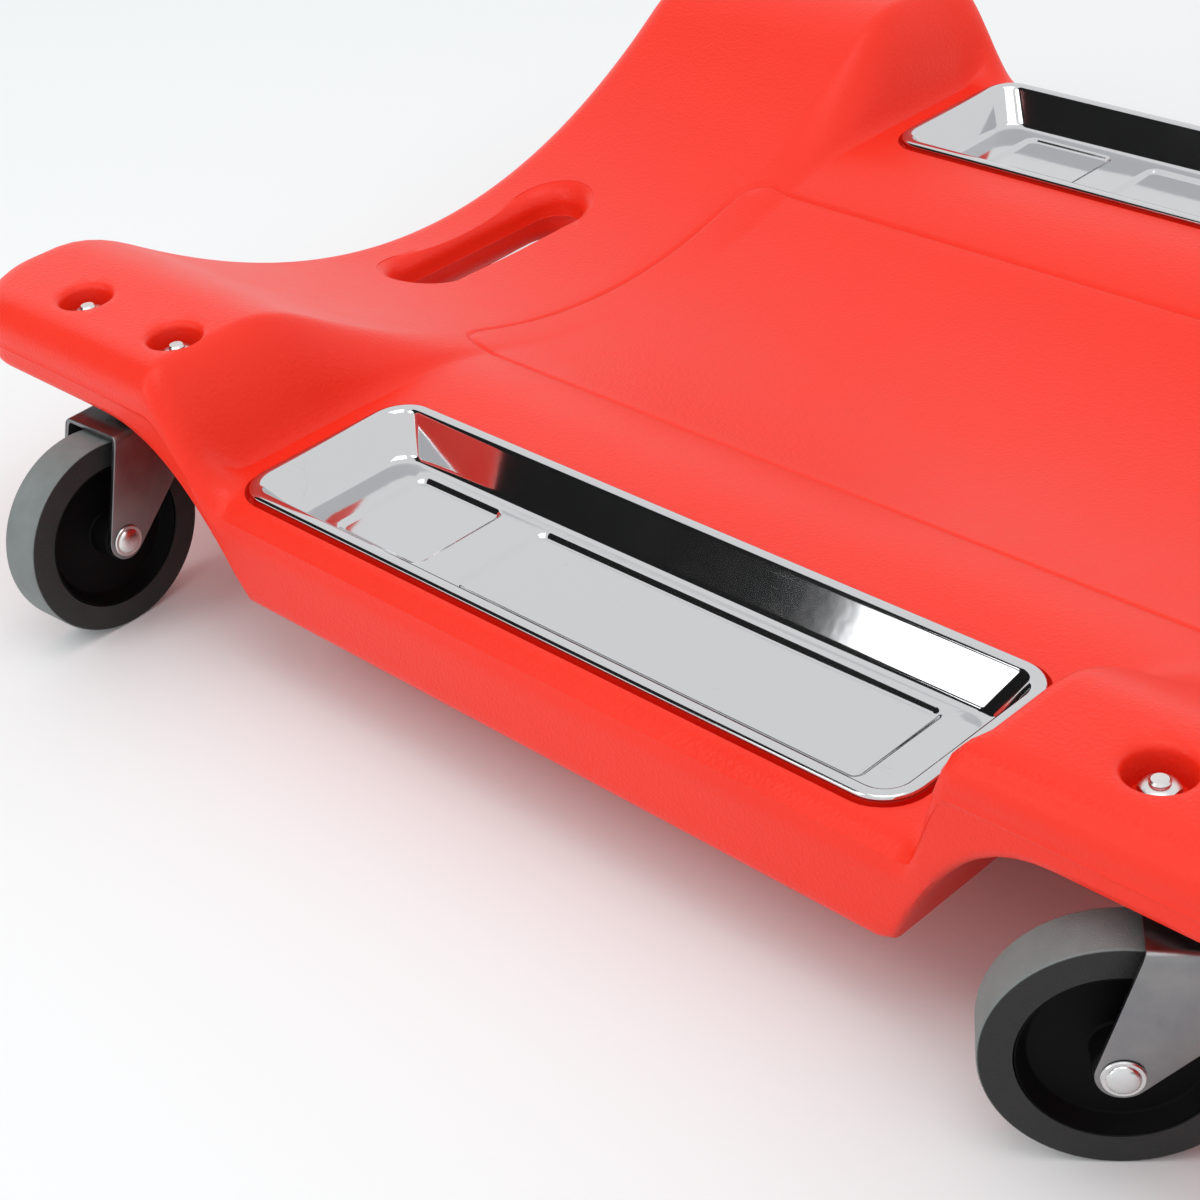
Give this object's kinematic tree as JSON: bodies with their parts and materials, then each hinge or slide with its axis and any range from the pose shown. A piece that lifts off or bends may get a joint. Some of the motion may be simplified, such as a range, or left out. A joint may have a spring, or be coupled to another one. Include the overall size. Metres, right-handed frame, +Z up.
{
  "type": "mechanic creeper",
  "caption": "Low moulded plastic creeper with a dished back panel, a headrest, drop-in steel tool trays, a handle slot and swivel casters under raised bosses along both sides.",
  "frame": {"origin": "on the floor, below the middle of the deck", "axes": "+X to the head end, +Y to the right side of someone lying on the deck, +Z up"},
  "size_m": [1.02, 0.5496, 0.1123],
  "materials": {
    "red_plastic": "satin, fine grain",
    "stainless": "polished",
    "zinc": "bright zinc",
    "black_plastic": "satin",
    "grey_rubber": "matte",
    "black_vinyl": "grained vinyl"
  },
  "bodies": {
    "deck_body": {"deck": "red_plastic", "headrest_pad": "black_vinyl", "headrest_board": "black_plastic", "headrest_screw_left": "zinc", "headrest_screw_right": "zinc", "plate_foot_left": "zinc", "kingpin_foot_left": "zinc", "bolt_toe_foot_left": "zinc", "bolt_heel_foot_left": "zinc", "plate_foot_right": "zinc", "kingpin_foot_right": "zinc", "bolt_toe_foot_right": "zinc", "bolt_heel_foot_right": "zinc", "plate_mid_left": "zinc", "kingpin_mid_left": "zinc", "bolt_toe_mid_left": "zinc", "bolt_heel_mid_left": "zinc", "plate_mid_right": "zinc", "kingpin_mid_right": "zinc", "bolt_toe_mid_right": "zinc", "bolt_heel_mid_right": "zinc", "plate_head_left": "zinc", "kingpin_head_left": "zinc", "bolt_toe_head_left": "zinc", "bolt_heel_head_left": "zinc", "plate_head_right": "zinc", "kingpin_head_right": "zinc", "bolt_toe_head_right": "zinc", "bolt_heel_head_right": "zinc"},
    "tray_left_body": {"tray_left": "stainless"},
    "tray_right_body": {"tray_right": "stainless"},
    "swivel_foot_left": {"fork_foot_left": "zinc", "axle_foot_left": "zinc"},
    "wheel_foot_left": {"hub_foot_left": "black_plastic", "tyre_foot_left": "grey_rubber"},
    "swivel_foot_right": {"fork_foot_right": "zinc", "axle_foot_right": "zinc"},
    "wheel_foot_right": {"hub_foot_right": "black_plastic", "tyre_foot_right": "grey_rubber"},
    "swivel_mid_left": {"fork_mid_left": "zinc", "axle_mid_left": "zinc"},
    "wheel_mid_left": {"hub_mid_left": "black_plastic", "tyre_mid_left": "grey_rubber"},
    "swivel_mid_right": {"fork_mid_right": "zinc", "axle_mid_right": "zinc"},
    "wheel_mid_right": {"hub_mid_right": "black_plastic", "tyre_mid_right": "grey_rubber"},
    "swivel_head_left": {"fork_head_left": "zinc", "axle_head_left": "zinc"},
    "wheel_head_left": {"hub_head_left": "black_plastic", "tyre_head_left": "grey_rubber"},
    "swivel_head_right": {"fork_head_right": "zinc", "axle_head_right": "zinc"},
    "wheel_head_right": {"hub_head_right": "black_plastic", "tyre_head_right": "grey_rubber"}
  },
  "joints": [
    {"name": "tray_lift_left", "type": "slide", "parent": "deck_body", "child": "tray_left_body", "axis": [0, 0, 1], "range_m": [0, 0.05]},
    {"name": "tray_lift_right", "type": "slide", "parent": "deck_body", "child": "tray_right_body", "axis": [0, 0, 1], "range_m": [0, 0.05]},
    {"name": "swivel_foot_left", "type": "hinge", "parent": "deck_body", "child": "swivel_foot_left", "pos_m": [-0.425, -0.20505, 0.0785], "axis": [0, 0, 1], "continuous": true},
    {"name": "roll_foot_left", "type": "hinge", "parent": "swivel_foot_left", "child": "wheel_foot_left", "pos_m": [-0.42333, -0.23701, 0.0375], "axis": [0.9986, 0.0523, 0], "continuous": true},
    {"name": "swivel_foot_right", "type": "hinge", "parent": "deck_body", "child": "swivel_foot_right", "pos_m": [-0.425, 0.20505, 0.0785], "axis": [0, 0, 1], "continuous": true},
    {"name": "roll_foot_right", "type": "hinge", "parent": "swivel_foot_right", "child": "wheel_foot_right", "pos_m": [-0.42333, 0.23701, 0.0375], "axis": [-0.9986, 0.0523, 0], "continuous": true},
    {"name": "swivel_mid_left", "type": "hinge", "parent": "deck_body", "child": "swivel_mid_left", "pos_m": [0.049, -0.20505, 0.0785], "axis": [0, 0, 1], "continuous": true},
    {"name": "roll_mid_left", "type": "hinge", "parent": "swivel_mid_left", "child": "wheel_mid_left", "pos_m": [0.02413, -0.22519, 0.0375], "axis": [0.6293, -0.7771, 0], "continuous": true},
    {"name": "swivel_mid_right", "type": "hinge", "parent": "deck_body", "child": "swivel_mid_right", "pos_m": [0.049, 0.20505, 0.0785], "axis": [0, 0, 1], "continuous": true},
    {"name": "roll_mid_right", "type": "hinge", "parent": "swivel_mid_right", "child": "wheel_mid_right", "pos_m": [0.0293, 0.23027, 0.0375], "axis": [-0.788, -0.6157, 0], "continuous": true},
    {"name": "swivel_head_left", "type": "hinge", "parent": "deck_body", "child": "swivel_head_left", "pos_m": [0.425, -0.20505, 0.0785], "axis": [0, 0, 1], "continuous": true},
    {"name": "roll_head_left", "type": "hinge", "parent": "swivel_head_left", "child": "wheel_head_left", "pos_m": [0.41301, -0.23472, 0.0375], "axis": [0.9272, -0.3746, 0], "continuous": true},
    {"name": "swivel_head_right", "type": "hinge", "parent": "deck_body", "child": "swivel_head_right", "pos_m": [0.425, 0.20505, 0.0785], "axis": [0, 0, 1], "continuous": true},
    {"name": "roll_head_right", "type": "hinge", "parent": "swivel_head_right", "child": "wheel_head_right", "pos_m": [0.41726, 0.2361, 0.0375], "axis": [-0.9703, -0.2419, 0], "continuous": true}
  ]
}
